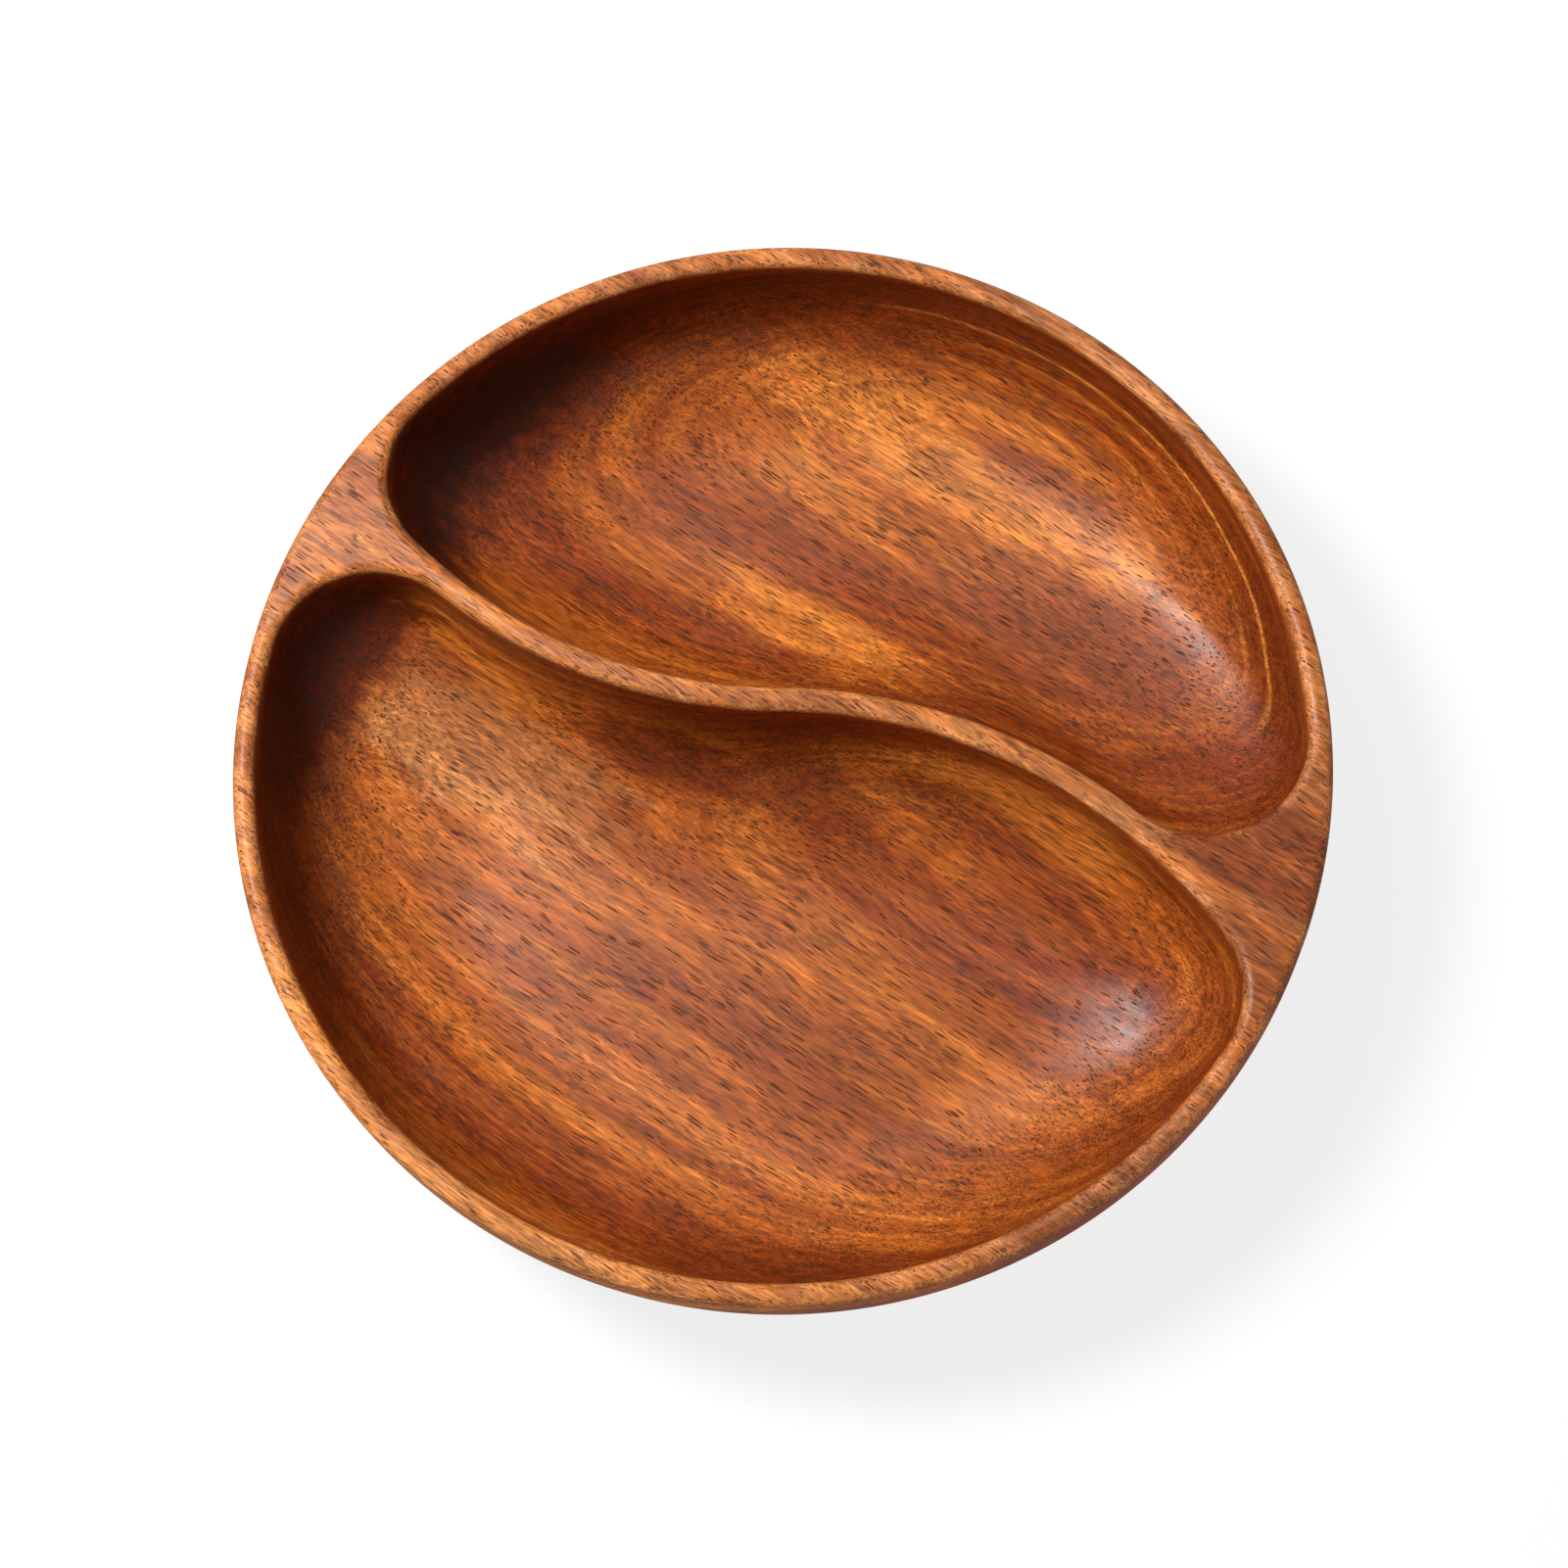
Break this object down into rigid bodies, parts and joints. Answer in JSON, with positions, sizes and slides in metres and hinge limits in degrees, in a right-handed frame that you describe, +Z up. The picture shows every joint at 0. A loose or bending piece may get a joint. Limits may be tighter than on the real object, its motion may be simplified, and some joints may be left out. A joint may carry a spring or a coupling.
{
  "type": "divided wooden bowl",
  "caption": "Round wooden serving bowl carved from glued boards, parted by a wavy divider into a smaller and a larger compartment.",
  "frame": {"origin": "centre of the flat foot, where the bowl's upright axis meets the surface that it stands on", "axes": "+Z up out of the compartments, +X along the grain of the boards, which is within 20 degrees of the run of the divider, +Y towards the smaller compartment"},
  "size_m": [0.22, 0.22, 0.043],
  "materials": {
    "acacia_wood": "oiled satin"
  },
  "bodies": {
    "root": {"front_board": "acacia_wood", "front_middle_board": "acacia_wood", "divider_board": "acacia_wood", "back_middle_board": "acacia_wood", "back_board": "acacia_wood"}
  },
  "joints": []
}
